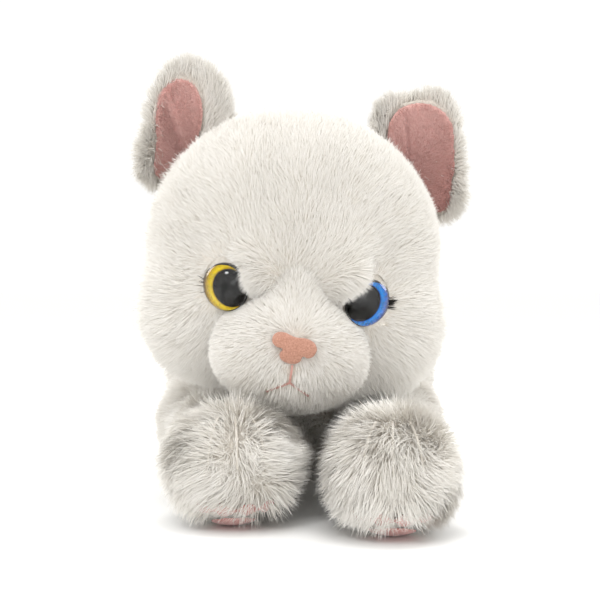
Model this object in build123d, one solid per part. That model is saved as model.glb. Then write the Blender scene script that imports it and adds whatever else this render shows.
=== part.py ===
from build123d import *
import os
from math import asin, cos, degrees, radians, sin, sqrt

# A plush cat that lies prone, head up, front paws forward. Millimetres and degrees.
# It faces -Y, its own left side is +X, and it rests on Z = 0.

# Skins and clearances
COVER = 2.5            # pile fabric with the pressed-down foot of its pile
LINING = 0.8           # short-nap fabric: ear linings, pads
SOFT_GAP = 0.3         # between soft pieces of two moving bodies
THREAD = 0.7           # stitching thread as it lies on the fabric
THREAD_SINK = 0.6      # how far a pulled stitch sinks into the pile

# Body
BODY_WIDTH = 110.0
BODY_LENGTH = 138.0
BODY_HEIGHT = 86.0
BODY_FLANK = 6.0       # upright part of the flank, between its roundings to back and belly
PELLET_BAG_WIDTH = 44.0
PELLET_BAG_LENGTH = 60.0
PELLET_BAG_HEIGHT = 22.0
PELLET_BAG_ROUND = 10.0
BAG_FABRIC = 0.8
CLOSING_SEAM = 44.0    # hand-sewn opening in the tummy
CLOSING_PITCH = 5.5
STITCH_SPAN = 3.6

# Head
HEAD_DIAMETER = 112.0
HEAD_SIDE_SHIFT = -2.5
HEAD_ROLL = 6.5        # the head lies tilted, its left side low
HEAD_TURN_REST = 4.0   # and turned a little to its left
CHIN_OVER_LEG = 2.25   # underside of the head against the top of the forelegs
NECK_DIAMETER = 56.0
NECK_STANDOFF = 11.0   # neck pivot behind the skin of the head
NECK_ELEVATION = 30.0  # line from neck pivot to head centre, above level
NECK_FORWARD = 31.0    # neck pivot ahead of the body's middle
SEAM_BEHIND_EARS = 12.0  # seam of face and back of head, behind the head's middle

# Muzzle, nose and mouth
MUZZLE_WIDTH = 54.0
MUZZLE_HEIGHT = 38.0
MUZZLE_FORWARD = 45.5
MUZZLE_DROP = 33.0
NOSE_WIDTH = 15.4
NOSE_HEIGHT = 10.8
NOSE_TIP_WIDTH = 5.0
NOSE_ROUND = 1.8
NOSE_THICK = 1.1
NOSE_DROP = 0.5        # nose centre below the middle of the muzzle
MOUTH_STEM = 6.0
MOUTH_REACH = 7.0
MOUTH_FALL = 4.0

# Safety eyes
EYE_DIAMETER = 16.4
EYE_SPACING = 48.0
EYE_DROP = 16.5
EYE_DOME = 4.6
EYE_BASE = 1.6         # moulded back plate
EYE_PROUD = 0.5        # rim of the back plate above the fabric
IRIS_DIAMETER = 15.6
IRIS_FILM = 0.3
PUPIL_DIAMETER = 11.6
STEM_DIAMETER = 4.8
STEM_LENGTH = 14.0
WASHER_DIAMETER = 15.0
WASHER_THICK = 1.5
LASH_LENGTH = 4.2
LASH_COUNT = 3
LASH_FAN = 24.0
LASH_TILT = 8.0        # follows the skin as it curves away

# Ears
EAR_CUP_RADIUS = 22.0
EAR_CUP_FORWARD = 12.0
EAR_MARGIN = 3.2       # pile fabric showing round the lining
EAR_ROOT_DIAMETER = 8.0
EAR_ROOT_LIFT = 2.0    # ear edge above the head, so that it can fold
EAR_INNER = (29.0, 50.5)   # ends of the ear seam on the head, right and up from its middle
EAR_OUTER = (53.5, 23.0)
EAR_TIP = (48.0, 72.0)
EAR_SHOULDER_IN = (34.5, 66.0)
EAR_SHOULDER_OUT = (59.0, 57.0)
EAR_TIP_ROUND = 6.0

# Limbs: round shoulder or hip, tube, round paw
SHOULDER_DIAMETER = 43.0
FORELEG_DIAMETER = 25.5
FOREPAW_DIAMETER = 38.0
FOREPAW_LENGTH = 47.0
SHOULDER_SPREAD = 71.0
SHOULDER_FORWARD = 43.0
LEFT_REACH = 126.0     # shoulder to middle of the paw
RIGHT_REACH = 109.0
LEFT_PAW_IN = 7.0      # how far the paw lies inside its shoulder
RIGHT_PAW_IN = 13.5
FORELEG_DROP = 45.0    # swing down when the cat is picked up

HIP_DIAMETER = 46.0
HINDLEG_DIAMETER = 30.0
HINDPAW_DIAMETER = 38.0
HINDPAW_LENGTH = 46.0
HIP_SPREAD = 66.0
HIP_BACK = 40.0
HIND_REACH = 44.0
HIND_PAW_OUT = 13.0
HINDLEG_DROP = 45.0
HINDLEG_LIFT = 20.0

# Pads and toe stitches on each paw
PALM_PAD_WIDTH = 15.0
TOE_PAD_WIDTH = 6.6
TOE_COUNT = 4
TOE_FAN = 23.0         # between neighbouring toes, seen from the middle of the paw
TOE_PAD_SLOPE = 32.0   # toe pads below the paw's own axis
PALM_PAD_SLOPE = 62.0
TOE_STITCH_FROM = 4.0  # toe stitches above the paw's own axis, start and end
TOE_STITCH_TO = 52.0

# Tail
TAIL_ROOT_DIAMETER = 24.0
TAIL_ROOT_Z = 14.0
TAIL_DIAMETER = 19.0
TAIL_STRAIGHT = 34.0
TAIL_BEND = 27.0
TAIL_CURL = 90.0
TAIL_TIP_RUN = 26.0
TAIL_LIFT = 60.0

# What follows from the sizes above
BODY_ROUND = (BODY_HEIGHT - BODY_FLANK) / 2
NECK_R = NECK_DIAMETER / 2
NECK_REACH = HEAD_DIAMETER / 2 + NECK_STANDOFF
HEAD_Z = FORELEG_DIAMETER / 2 + FOREPAW_DIAMETER / 2 + CHIN_OVER_LEG + HEAD_DIAMETER / 2
NECK_Z = HEAD_Z - NECK_REACH * sin(radians(NECK_ELEVATION))
FRONT_END = -SHOULDER_FORWARD - max(LEFT_REACH, RIGHT_REACH) - FOREPAW_LENGTH / 2
TAIL_ROOT_Y = BODY_LENGTH / 2 - TAIL_ROOT_DIAMETER / 2
REAR_END = TAIL_ROOT_Y + TAIL_STRAIGHT + TAIL_BEND + TAIL_DIAMETER / 2
BODY_Y = -(FRONT_END + REAR_END) / 2       # puts the origin under the middle of the whole cat
NECK_PIVOT = Vector(0, BODY_Y - NECK_FORWARD, NECK_Z)
HEAD_CENTRE = Vector(
    HEAD_SIDE_SHIFT, NECK_PIVOT.Y - NECK_REACH * cos(radians(NECK_ELEVATION)), HEAD_Z
)
HEAD_PLACE = Pos(HEAD_CENTRE) * Rot(0, HEAD_ROLL, 0) * Rot(0, 0, HEAD_TURN_REST)
MUZZLE_CENTRE = Pos(0, -MUZZLE_FORWARD, -MUZZLE_DROP)
SIDES = {"left": 1, "right": -1}


def capsule(diameter, length, grow=0.0):
    """Round-ended bar along Z about its middle, its skin moved out by grow."""
    run = length - diameter
    ball = Sphere(diameter / 2 + grow)
    return Cylinder(diameter / 2 + grow, run) + Pos(0, 0, run / 2) * ball + Pos(0, 0, -run / 2) * ball


def pillow(width, length, height, rounding, grow=0.0):
    """Flat-bottomed pillow standing on Z = 0, its skin moved out by grow."""
    footprint = SlotOverall(length + 2 * grow, width + 2 * grow, rotation=90)
    block = Pos(0, 0, -grow) * extrude(footprint, height + 2 * grow)
    rims = block.edges().group_by(Axis.Z)
    return fillet(rims[0] + rims[-1], rounding + grow)


def head_form(grow=0.0):
    """Head without its muzzle, about its own middle."""
    return Sphere(HEAD_DIAMETER / 2 + grow)


def muzzle_form(grow=0.0):
    """Muzzle bulge, in the head's own frame."""
    return MUZZLE_CENTRE * Rot(0, 90, 0) * capsule(MUZZLE_HEIGHT, MUZZLE_WIDTH, grow)


def surface_plane(x, z):
    """Plane on the front of the head at x, z: its Z points out of the skin, its X to the cat's left."""
    y = -sqrt((HEAD_DIAMETER / 2) ** 2 - x**2 - z**2)
    normal = Vector(x, y, z).normalized()
    level = Vector(0, 0, 1).cross(normal).normalized()
    return Plane(origin=(x, y, z), x_dir=level, z_dir=normal)


# ---- head -------------------------------------------------------------------------------------

def eye_place(side):
    """Where an eye sits on the skin, in the head's own frame."""
    return surface_plane(side * EYE_SPACING / 2, -EYE_DROP).location


def eye_stem():
    """Moulded back plate with its stem, Z out of the head."""
    plate = Pos(0, 0, EYE_PROUD - EYE_BASE / 2) * Cylinder(EYE_DIAMETER / 2, EYE_BASE)
    stem = Pos(0, 0, EYE_PROUD - EYE_BASE - STEM_LENGTH / 2) * Cylinder(STEM_DIAMETER / 2, STEM_LENGTH)
    return plate + stem


def eye_iris():
    """Coloured ring on the back plate."""
    film = Cylinder(IRIS_DIAMETER / 2, IRIS_FILM) - Cylinder(PUPIL_DIAMETER / 2, IRIS_FILM)
    return Pos(0, 0, EYE_PROUD + IRIS_FILM / 2) * film


def eye_pupil():
    """Black disc inside the iris ring."""
    return Pos(0, 0, EYE_PROUD + IRIS_FILM / 2) * Cylinder(PUPIL_DIAMETER / 2, IRIS_FILM)


def eye_lens():
    """Clear dome: a spherical cap that stands on the back plate over iris and pupil."""
    rim = EYE_DIAMETER / 2
    ball = (rim**2 + EYE_DOME**2) / (2 * EYE_DOME)
    cap = Pos(0, 0, EYE_PROUD + EYE_DOME - ball) * Sphere(ball)
    cap &= Pos(0, 0, EYE_PROUD + ball) * Box(2 * rim, 2 * rim, 2 * ball)
    return cap - Pos(0, 0, EYE_PROUD + IRIS_FILM / 2) * Cylinder(IRIS_DIAMETER / 2, IRIS_FILM)


def eye_washer():
    """Lock washer pushed up the stem against the back of the fabric."""
    ring = Cylinder(WASHER_DIAMETER / 2, WASHER_THICK) - Cylinder(STEM_DIAMETER / 2, WASHER_THICK)
    return Pos(0, 0, -COVER - WASHER_THICK / 2) * ring


def eye_space():
    """Room that plate, stem and washer take out of cover and stuffing."""
    base = EYE_PROUD - EYE_BASE
    plate = Pos(0, 0, base + EYE_DOME) * Cylinder(EYE_DIAMETER / 2, 2 * EYE_DOME)
    stem = Pos(0, 0, base - STEM_LENGTH / 2) * Cylinder(STEM_DIAMETER / 2, STEM_LENGTH)
    washer = Pos(0, 0, -COVER - WASHER_THICK / 2) * Cylinder(WASHER_DIAMETER / 2, WASHER_THICK)
    return plate + stem + washer


def lash(side):
    """Short black threads that fan out over the skin from the outer corner of the eye."""
    threads = []
    for i in range(LASH_COUNT):
        turn = (i - (LASH_COUNT - 1) / 2) * LASH_FAN
        thread = Pos(LASH_LENGTH / 2, 0, 0) * Rot(0, 90, 0) * Cylinder(THREAD / 2, LASH_LENGTH)
        threads.append(Rot(0, 0, turn) * Pos(EYE_DIAMETER / 2, 0, 0) * Rot(0, LASH_TILT, 0) * thread)
    return Rot(0, 0, 0 if side > 0 else 180) * Compound(children=threads)


def nose_outline():
    """Rounded triangle, wide edge up, in the plane of the face."""
    half, high = NOSE_WIDTH / 2, NOSE_HEIGHT / 2
    tip = NOSE_TIP_WIDTH / 2
    corners = [(-half, high), (half, high), (half, high / 3), (tip, -high), (-tip, -high), (-half, high / 3)]
    face = make_face(Polyline(*corners, close=True))
    return fillet(face.vertices(), NOSE_ROUND)


def on_muzzle(outline, thick):
    """A flat outline laid on the muzzle as a thin piece, in the head's own frame."""
    middle = Plane.XZ.offset(MUZZLE_FORWARD) * Pos(0, -MUZZLE_DROP - NOSE_DROP)
    column = extrude(middle * outline, MUZZLE_HEIGHT)
    return (muzzle_form(thick) - muzzle_form()) & column


def nose_patch():
    """Embroidered nose."""
    return on_muzzle(nose_outline(), NOSE_THICK)


def mouth_stitches():
    """Thread from under the nose that forks to both sides."""
    top = -NOSE_HEIGHT / 2
    fork = (0, top - MOUTH_STEM)
    runs = [Line((0, top), fork)]
    runs += [Line(fork, (side * MOUTH_REACH, fork[1] - MOUTH_FALL)) for side in SIDES.values()]
    thread = trace(runs, THREAD)
    return on_muzzle(thread, THREAD) - nose_patch()


def ear_root(side, grow=0.0):
    """Rolled seam allowance of the ear: the bar that the ear folds about."""
    start, end = ear_seam(side)
    run = end - start
    bar = Cylinder(EAR_ROOT_DIAMETER / 2 + grow, run.length + 2 * grow)
    return Plane(origin=(start + end) / 2, z_dir=run).location * bar


def ear_seam(side):
    """Ends of the ear's seam on the head, inner end first, in the head's own frame."""
    back = (EAR_CUP_RADIUS - EAR_CUP_FORWARD) / 2
    return [Vector(side * x, back, z) for x, z in (EAR_INNER, EAR_OUTER)]


def ear_outline(side, margin):
    """Ear seen from the front, less a margin."""
    corners = [EAR_INNER, EAR_SHOULDER_IN, EAR_TIP, EAR_SHOULDER_OUT, EAR_OUTER]
    face = make_face(Polyline(*[(side * x, z) for x, z in corners], close=True))
    face = fillet(face.vertices().sort_by(Axis.Y)[2:], EAR_TIP_ROUND)
    return offset(face, -margin, kind=Kind.INTERSECTION) if margin else face


def ear_layer(side, outer, thick, margin):
    """One layer of the cupped ear: a piece of upright tube, open to the front."""
    middle = side * (EAR_INNER[0] + EAR_OUTER[0]) / 2
    tall = HEAD_DIAMETER + 2 * EAR_TIP[1]
    tube = Cylinder(outer, tall) - Cylinder(outer - thick, tall)
    tube -= Pos(0, -outer, 0) * Box(2 * outer, 2 * outer, tall)
    tube = Pos(middle, -EAR_CUP_FORWARD, 0) * tube
    column = extrude(Plane.XZ * ear_outline(side, margin), HEAD_DIAMETER / 2, both=True)
    return (tube & column) - head_form(EAR_ROOT_LIFT)


def ear_back(side):
    """Pile fabric back of the ear with its rolled seam."""
    return ear_layer(side, EAR_CUP_RADIUS, COVER, 0) + ear_root(side)


def ear_lining(side):
    """Pink lining inside the cup."""
    return ear_layer(side, EAR_CUP_RADIUS - COVER, LINING, EAR_MARGIN) - ear_root(side)


def head_cut(shape):
    """Take out of a head piece what neck, ears and eyes need."""
    shape -= HEAD_PLACE.inverse() * neck_ball(SOFT_GAP)
    for side in SIDES.values():
        shape -= ear_root(side, SOFT_GAP)
        shape -= eye_place(side) * eye_space()
    return shape


def head_pieces():
    """Every piece that moves with the head, in the cat's frame."""
    skin = head_cut(head_form() - head_form(-COVER) - muzzle_form())
    seam = Plane.XZ.offset(-SEAM_BEHIND_EARS)
    pieces = {
        "head_face_cover": split(skin, bisect_by=seam, keep=Keep.TOP),
        "head_back_cover": split(skin, bisect_by=seam, keep=Keep.BOTTOM),
        "muzzle_panel": head_cut(muzzle_form() - muzzle_form(-COVER) - head_form(-COVER)),
        "head_stuffing": head_cut(head_form(-COVER) + muzzle_form(-COVER)),
        "nose_patch": nose_patch(),
        "mouth_stitches": mouth_stitches(),
    }
    for name, side in SIDES.items():
        place = eye_place(side)
        pieces[f"{name}_eye_stem"] = place * eye_stem()
        pieces[f"{name}_eye_iris"] = place * eye_iris()
        pieces[f"{name}_eye_pupil"] = place * eye_pupil()
        pieces[f"{name}_eye_lens"] = place * eye_lens()
        pieces[f"{name}_eye_washer"] = place * eye_washer()
        pieces[f"{name}_eye_lash"] = place * lash(side)
    return {name: HEAD_PLACE * shape for name, shape in pieces.items()}


def ear_pieces():
    """Both ears, in the cat's frame."""
    pieces = {}
    for name, side in SIDES.items():
        pieces[f"{name}_ear_back"] = HEAD_PLACE * ear_back(side)
        pieces[f"{name}_ear_lining"] = HEAD_PLACE * ear_lining(side)
    return pieces


# ---- neck -------------------------------------------------------------------------------------

def neck_ball(grow=0.0):
    """Round neck joint between head and body."""
    return Pos(NECK_PIVOT) * Sphere(NECK_R + grow)


def neck_pieces():
    """Gusset of the neck and the wad inside it."""
    return {"neck_gusset": neck_ball() - neck_ball(-COVER), "neck_stuffing": neck_ball(-COVER)}


# ---- limbs ------------------------------------------------------------------------------------

def swing_room(root, width, lift, drop):
    """Space of a ball root at the origin and of a bar along -Y that swings about X."""
    half = width / 2 + SOFT_GAP
    up, down = radians(lift), radians(drop)
    top = (half * sin(up), half * cos(up))
    low = (half * sin(down), -half * cos(down))
    top_far = (top[0] - BODY_LENGTH * cos(up), top[1] + BODY_LENGTH * sin(up))
    low_far = (low[0] - BODY_LENGTH * cos(down), low[1] - BODY_LENGTH * sin(down))
    middle = (up - down) / 2
    back = (half * cos(middle), -half * sin(middle))
    outline = Line(top_far, top) + ThreePointArc(top, back, low) + Line(low, low_far) + Line(low_far, top_far)
    slot = extrude(Plane.YZ * make_face(outline), half, both=True)
    return slot + Rot(0, 90, 0) * Sphere(root / 2 + SOFT_GAP)


class Limb:
    """A leg: ball root, tube and round paw along its own -Y, hinged about its own X."""

    def __init__(self, root, tube, paw, length, reach, lift, drop, place):
        self.root, self.tube, self.paw, self.length, self.reach = root, tube, paw, length, reach
        self.lift, self.drop = lift, drop
        pitch = degrees(asin((root - paw) / 2 / (reach + (length - paw) / 2)))
        self.place = place * Rot(pitch, 0, 0)

    def paw_form(self, grow=0.0):
        return Pos(0, -self.reach, 0) * Rot(90, 0, 0) * Rot(0, 0, 90) * capsule(self.paw, self.length, grow)

    def form(self, grow=0.0):
        run = Pos(0, -self.reach / 2, 0) * Rot(90, 0, 0) * Cylinder(self.tube / 2 + grow, self.reach)
        return Rot(0, 90, 0) * Sphere(self.root / 2 + grow) + run + self.paw_form(grow)

    def aimed(self, fan, slope):
        """Place at the middle of the paw, its -Y aimed at a spot of the paw's surface."""
        return Pos(0, -self.reach, 0) * Rot(0, 0, fan) * Rot(slope, 0, 0)

    def pad(self, width, fan, slope):
        """Pad of short-nap fabric, flush with the paw."""
        column = Pos(0, -self.length / 2, 0) * Rot(90, 0, 0) * Cylinder(width / 2, self.length)
        return (self.paw_form() - self.paw_form(-LINING)) & (self.aimed(fan, slope) * column)

    def toe_stitch(self, fan):
        """Pulled thread between two toes, over the top and front of the paw."""
        far = self.length
        rays = [TOE_STITCH_FROM, (TOE_STITCH_FROM + TOE_STITCH_TO) / 2, TOE_STITCH_TO]
        corners = [(0, 0)] + [(-far * cos(radians(a)), far * sin(radians(a))) for a in rays]
        wedge = extrude(Plane.YZ * make_face(Polyline(*corners, close=True)), THREAD / 2, both=True)
        return (self.paw_form() - self.paw_form(-THREAD_SINK)) & (self.aimed(fan, 0) * wedge)

    def swing_space(self):
        """Room that the body leaves for the root and for the limb over its whole swing."""
        width = max(self.tube, self.paw)
        return self.place * swing_room(self.root, width, self.lift, self.drop)

    def pieces(self, name, paw_name):
        """Cover, stuffing, pads and toe stitches in the cat's frame."""
        toes = [(i - (TOE_COUNT - 1) / 2) * TOE_FAN for i in range(TOE_COUNT)]
        gaps = [(a + b) / 2 for a, b in zip(toes, toes[1:])]
        palm = self.pad(PALM_PAD_WIDTH, 0, PALM_PAD_SLOPE)
        toe_pads = [self.pad(TOE_PAD_WIDTH, fan, TOE_PAD_SLOPE) for fan in toes]
        stitches = [self.toe_stitch(fan) for fan in gaps]
        cover = self.form() - self.form(-COVER)
        for piece in [palm] + toe_pads + stitches:
            cover -= piece
        pieces = {
            f"{name}_cover": cover,
            f"{name}_stuffing": self.form(-COVER),
            f"{paw_name}_palm_pad": palm,
            f"{paw_name}_toe_pads": Compound(children=toe_pads),
            f"{paw_name}_toe_stitches": Compound(children=stitches),
        }
        return {key: self.place * shape for key, shape in pieces.items()}


def foreleg(name):
    """Front leg of one side, reaching forward from the shoulder."""
    side = SIDES[name]
    reach, inward = {"left": (LEFT_REACH, LEFT_PAW_IN), "right": (RIGHT_REACH, RIGHT_PAW_IN)}[name]
    pivot = (side * SHOULDER_SPREAD / 2, BODY_Y - SHOULDER_FORWARD, SHOULDER_DIAMETER / 2)
    place = Pos(pivot) * Rot(0, 0, -side * degrees(asin(inward / reach)))
    return Limb(
        SHOULDER_DIAMETER, FORELEG_DIAMETER, FOREPAW_DIAMETER, FOREPAW_LENGTH, reach, 0, FORELEG_DROP, place
    )


def hindleg(name):
    """Hind leg of one side, reaching back from the hip."""
    side = SIDES[name]
    pivot = (side * HIP_SPREAD / 2, BODY_Y + HIP_BACK, HIP_DIAMETER / 2)
    place = Pos(pivot) * Rot(0, 0, side * (180 - degrees(asin(HIND_PAW_OUT / HIND_REACH))))
    return Limb(
        HIP_DIAMETER, HINDLEG_DIAMETER, HINDPAW_DIAMETER, HINDPAW_LENGTH, HIND_REACH,
        HINDLEG_LIFT, HINDLEG_DROP, place,
    )


# ---- tail -------------------------------------------------------------------------------------

TAIL_DOWN = degrees(asin((TAIL_ROOT_Z - TAIL_DIAMETER / 2) / (TAIL_STRAIGHT + TAIL_BEND)))
TAIL_PLACE = Pos(0, BODY_Y + TAIL_ROOT_Y, TAIL_ROOT_Z) * Rot(0, 0, 180) * Rot(TAIL_DOWN, 0, 0)


def tail_form(grow=0.0):
    """Tail along its own -Y from its root, then curled round to its own -X."""
    run = Line((0, 0), (0, -TAIL_STRAIGHT))
    bend = JernArc(run @ 1, run % 1, TAIL_BEND, -TAIL_CURL)
    tip = Line(bend @ 1, (bend @ 1) + (bend % 1) * TAIL_TIP_RUN)
    tube = sweep(Plane.XZ * Circle(TAIL_DIAMETER / 2 + grow), path=run + bend + tip)
    return tube + Sphere(TAIL_ROOT_DIAMETER / 2 + grow) + Pos(tip @ 1) * Sphere(TAIL_DIAMETER / 2 + grow)


def tail_swing_space():
    """Room in the body for the tail's root and its lift."""
    return TAIL_PLACE * swing_room(TAIL_ROOT_DIAMETER, TAIL_DIAMETER, TAIL_LIFT, 0)


def tail_pieces():
    """Cover and stuffing of the tail in the cat's frame."""
    return {
        "tail_cover": TAIL_PLACE * (tail_form() - tail_form(-COVER)),
        "tail_stuffing": TAIL_PLACE * tail_form(-COVER),
    }


# ---- body -------------------------------------------------------------------------------------

def body_form(grow=0.0):
    """Rounded body, flattened on what it lies on."""
    return Pos(0, BODY_Y, 0) * pillow(BODY_WIDTH, BODY_LENGTH, BODY_HEIGHT, BODY_ROUND, grow)


def pellet_bag(grow=0.0):
    """Bag of pellets low in the belly, resting on the tummy panel."""
    return Pos(0, BODY_Y, COVER) * pillow(
        PELLET_BAG_WIDTH, PELLET_BAG_LENGTH, PELLET_BAG_HEIGHT, PELLET_BAG_ROUND, grow
    )


def closing_stitches():
    """Hand stitches across the closing seam in the tummy panel."""
    count = int(CLOSING_SEAM / CLOSING_PITCH) + 1
    stitch = Rot(0, 90, 0) * Cylinder(THREAD / 2, STITCH_SPAN)
    first = BODY_Y - (count - 1) * CLOSING_PITCH / 2
    places = [Pos(0, first + i * CLOSING_PITCH, THREAD) for i in range(count)]
    return Compound(children=[place * stitch for place in places])


def head_swing_space():
    """Everything on the head's side of a plane through the neck pivot."""
    toward_head = (0, -cos(radians(NECK_ELEVATION)), sin(radians(NECK_ELEVATION)))
    wall = Plane(origin=NECK_PIVOT, z_dir=toward_head)
    size = 4 * BODY_LENGTH
    return wall.location * Box(size, size, size, align=(Align.CENTER, Align.CENTER, Align.MIN))


def body_cut(shape, limbs):
    """Take out of a body piece what neck, limbs and tail need to move."""
    shape = shape - head_swing_space() - neck_ball(SOFT_GAP) - tail_swing_space()
    for limb in limbs:
        shape -= limb.swing_space()
    return shape


def body_pieces(limbs):
    """Pieces of the trunk in the cat's frame."""
    slab = Pos(0, BODY_Y, 0) * Box(
        BODY_WIDTH, BODY_LENGTH, COVER, align=(Align.CENTER, Align.CENTER, Align.MIN)
    )
    stitches = closing_stitches()
    tummy = body_cut(body_form() & slab, limbs)
    for stitch in stitches.solids():
        tummy -= stitch
    return {
        "back_cover": body_cut(body_form() - body_form(-COVER) - slab, limbs),
        "tummy_panel": tummy,
        "closing_stitches": stitches,
        "body_stuffing": body_cut(body_form(-COVER) - pellet_bag(), limbs),
        "pellet_bag": pellet_bag() - pellet_bag(-BAG_FABRIC),
        "pellet_fill": pellet_bag(-BAG_FABRIC),
    }


def cat_pieces():
    """Every piece of the cat by name."""
    forelegs = {name: foreleg(name) for name in SIDES}
    hindlegs = {name: hindleg(name) for name in SIDES}
    pieces = body_pieces([*forelegs.values(), *hindlegs.values()])
    pieces |= neck_pieces() | head_pieces() | ear_pieces() | tail_pieces()
    for name in SIDES:
        pieces |= forelegs[name].pieces(f"{name}_foreleg", f"{name}_forepaw")
        pieces |= hindlegs[name].pieces(f"{name}_hindleg", f"{name}_hindpaw")
    return pieces


os.makedirs("parts", exist_ok=True)
for node, shape in cat_pieces().items():
    export_step(shape, f"parts/{node}.step")
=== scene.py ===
# %% [markdown]
# # A white plush cat, dressed over its sewn frame
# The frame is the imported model: covers, stuffing, safety eyes and joints at their real sizes.
# Here the plain covers get their looks: padded skins, a grown pile, stitches, lined ears and glass-like
# eyes. Everything is in metres and in the frame's own axes, with the cat facing -Y and standing on z = 0.

# %% Load the frame
import math
import bmesh
import bpy
import numpy as np
from mathutils import Matrix, Vector, kdtree


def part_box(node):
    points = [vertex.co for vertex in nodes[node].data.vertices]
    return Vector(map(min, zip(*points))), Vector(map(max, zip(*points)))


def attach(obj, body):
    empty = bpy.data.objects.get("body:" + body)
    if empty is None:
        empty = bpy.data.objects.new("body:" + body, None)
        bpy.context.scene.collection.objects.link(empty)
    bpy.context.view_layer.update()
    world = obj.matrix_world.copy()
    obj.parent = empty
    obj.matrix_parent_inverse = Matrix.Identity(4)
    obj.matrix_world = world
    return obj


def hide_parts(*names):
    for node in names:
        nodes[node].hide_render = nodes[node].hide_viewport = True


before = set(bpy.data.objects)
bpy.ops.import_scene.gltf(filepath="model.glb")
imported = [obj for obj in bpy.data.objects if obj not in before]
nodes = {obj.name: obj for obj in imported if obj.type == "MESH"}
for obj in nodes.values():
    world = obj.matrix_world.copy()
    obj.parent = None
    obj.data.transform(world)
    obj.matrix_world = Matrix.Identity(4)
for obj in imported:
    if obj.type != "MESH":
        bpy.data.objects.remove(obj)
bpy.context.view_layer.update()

MM = 0.001

# %% [markdown]
# ## Camera, floor and light
# A long lens level with the cat's chest keeps the face true to shape. Floor and world are nearly white, as
# on a product table. White pile shows its form only where the light differs: a small high lamp draws the
# hairs and puts a glint in the eyes, a low one fills the paws, and large ones round the rest off.


# %% Camera
def new_object(name, data):
    made = bpy.data.objects.new(name, data)
    bpy.context.scene.collection.objects.link(made)
    return made


CAMERA_PLACE = Vector((0.0, -0.540, 0.075))
CAMERA_LENS = 78.3
HORIZON_ABOVE_MIDDLE = 10 / 600  # of the picture's width

camera = new_object("camera", bpy.data.cameras.new("camera"))
camera.location = CAMERA_PLACE
camera.rotation_euler = (math.pi / 2, 0, 0)
camera.data.lens = CAMERA_LENS
camera.data.sensor_width = 36
camera.data.shift_y = -HORIZON_ABOVE_MIDDLE
bpy.context.scene.camera = camera
bpy.context.scene.view_settings.view_transform = "Standard"
print("camera", CAMERA_LENS, "mm at", tuple(CAMERA_PLACE))

# %% Lamps
LAMPS = {  # place, what it is aimed at, width in metres and watts
    "key_lamp": ((-0.27, -0.77, 0.765), (-0.024, -0.104, 0.073), 0.16, 1.7),
    "low_lamp": ((0.2, -1.3, 0.16), (0, -0.06, 0.03), 0.5, 1.0),
    "top_lamp": ((0.05, -0.12, 1.1), (0, -0.04, 0.08), 0.6, 3.4),
    "back_lamp": ((0.0, 1.2, 0.6), (0, 0.05, 0.04), 0.9, 1.6),
    "right_rim_lamp": ((-0.75, 0.5, 0.55), (0, -0.04, 0.06), 0.5, 3.0),
    "left_rim_lamp": ((0.75, 0.5, 0.55), (0, -0.04, 0.06), 0.5, 3.0),
}


def soft_lamp(name, place, target, width, watts):
    lamp = new_object(name, bpy.data.lights.new(name, "AREA"))
    lamp.data.shape = "DISK"
    lamp.data.size = width
    lamp.data.energy = watts
    lamp.location = place
    lamp.rotation_euler = (Vector(target) - Vector(place)).to_track_quat("-Z", "Y").to_euler()


for name, (place, target, width, watts) in LAMPS.items():
    soft_lamp(name, place, target, width, watts)
print("lamps", sum(watts for _, _, _, watts in LAMPS.values()), "W in all")

# %% World and floor
WORLD_STRENGTH = 1.06
FLOOR_HALF = 30.0  # metres

world = bpy.data.worlds.new("studio")
bpy.context.scene.world = world
world.use_nodes = True
world.node_tree.nodes["Background"].inputs["Color"].default_value = (1.0, 0.995, 0.985, 1)
world.node_tree.nodes["Background"].inputs["Strength"].default_value = WORLD_STRENGTH


def mesh_of(bm, name):
    mesh = bpy.data.meshes.new(name)
    bm.to_mesh(mesh)
    bm.free()
    return mesh


bm = bmesh.new()
bmesh.ops.create_grid(bm, x_segments=1, y_segments=1, size=FLOOR_HALF)
floor = new_object("floor", mesh_of(bm, "floor"))
print("floor", 2 * FLOOR_HALF, "m wide")

# %% [markdown]
# ## Finishes
# Each finish is a small node tree, built by a few helpers: a ramp turns a number into a colour, a noise
# gives uneven numbers over the piece, and a bump turns them into small hills. Noise reads Object
# coordinates, so its size is in metres and it stays on the piece when the piece moves.


# %% Node helpers
def new_material(name, colour, roughness, sheen=0.0, specular=0.5):
    material = bpy.data.materials.new(name)
    material.use_nodes = True
    shader = material.node_tree.nodes["Principled BSDF"]
    shader.inputs["Base Color"].default_value = (*colour, 1)
    shader.inputs["Roughness"].default_value = roughness
    shader.inputs["Sheen Weight"].default_value = sheen
    shader.inputs["Specular IOR Level"].default_value = specular
    return material, material.node_tree, shader


def ramp(tree, source, stops):
    node = tree.nodes.new("ShaderNodeValToRGB")
    while len(node.color_ramp.elements) < len(stops):
        node.color_ramp.elements.new(0.5)
    for element, (place, colour) in zip(node.color_ramp.elements, stops):
        element.position = place
        element.color = (*colour, 1)
    tree.links.new(source, node.inputs["Fac"])
    return node.outputs["Color"]


def object_place(tree):
    return tree.nodes.new("ShaderNodeTexCoord").outputs["Object"]


def noise(tree, size, detail=3.0):
    """Noise whose lumps are about `size` metres, on Object coordinates."""
    node = tree.nodes.new("ShaderNodeTexNoise")
    node.inputs["Scale"].default_value = 1 / size
    node.inputs["Detail"].default_value = detail
    tree.links.new(object_place(tree), node.inputs["Vector"])
    return node.outputs["Fac"]


def multiplied(tree, first, second):
    """The product of two colours."""
    mix = tree.nodes.new("ShaderNodeMix")
    mix.data_type = "RGBA"
    mix.blend_type = "MULTIPLY"
    mix.inputs["Factor"].default_value = 1.0
    tree.links.new(first, mix.inputs["A"])
    tree.links.new(second, mix.inputs["B"])
    return mix.outputs["Result"]


def coloured(tree, shader, colour):
    tree.links.new(colour, shader.inputs["Base Color"])


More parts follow.
